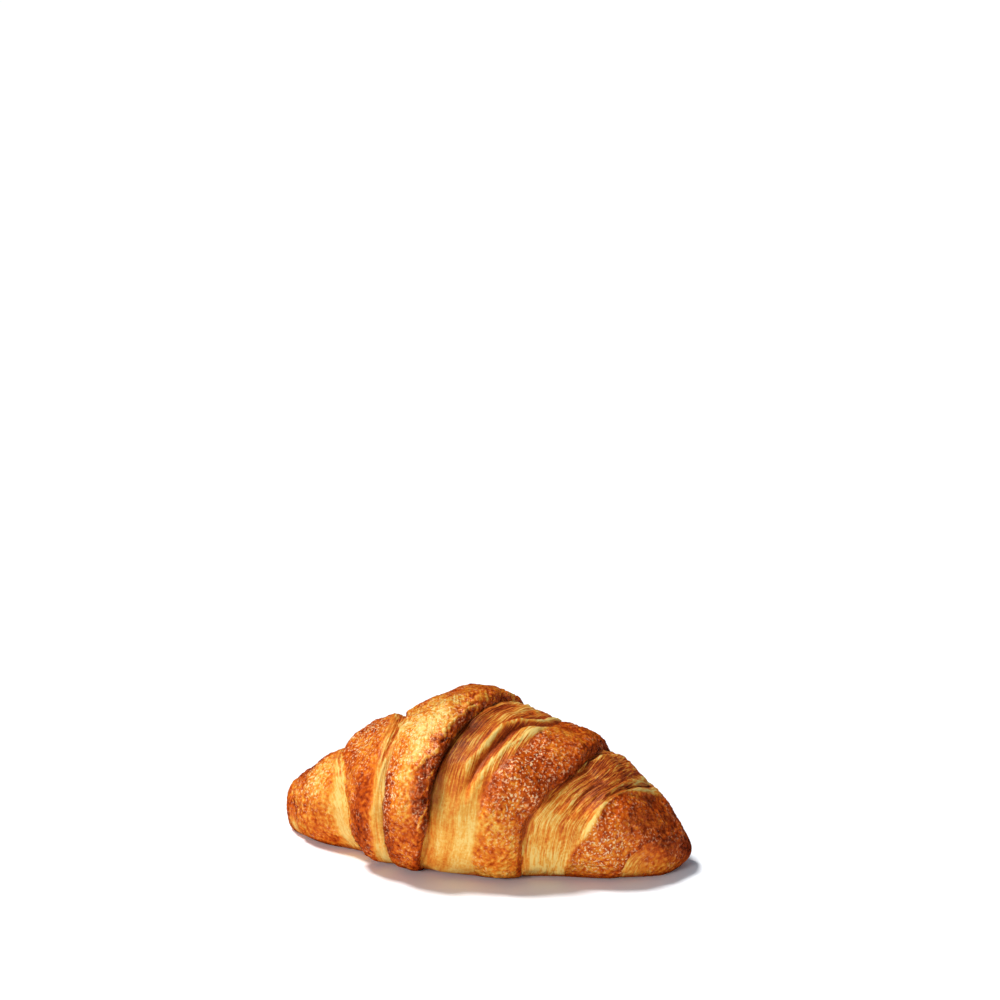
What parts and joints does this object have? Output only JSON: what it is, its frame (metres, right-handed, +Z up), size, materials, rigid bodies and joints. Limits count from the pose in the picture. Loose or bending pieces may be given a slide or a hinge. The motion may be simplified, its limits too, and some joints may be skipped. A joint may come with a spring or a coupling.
{
  "type": "croissant",
  "caption": "Baked crescent roll of laminated dough, wound from both tips to a raised middle wrap, lying on its flat underside.",
  "frame": {"origin": "on the ground, under the middle of the croissant's box", "axes": "+X along the roll to its right tip, -Y the rounded front of the crescent, +Z up"},
  "size_m": [0.1466, 0.0844, 0.0575],
  "materials": {
    "baked_crust": "egg-washed crust, golden to red brown, softly glossy and blistered, with matte cream-yellow dough between the wraps"
  },
  "bodies": {
    "root": {"croissant": "baked_crust"}
  },
  "joints": []
}
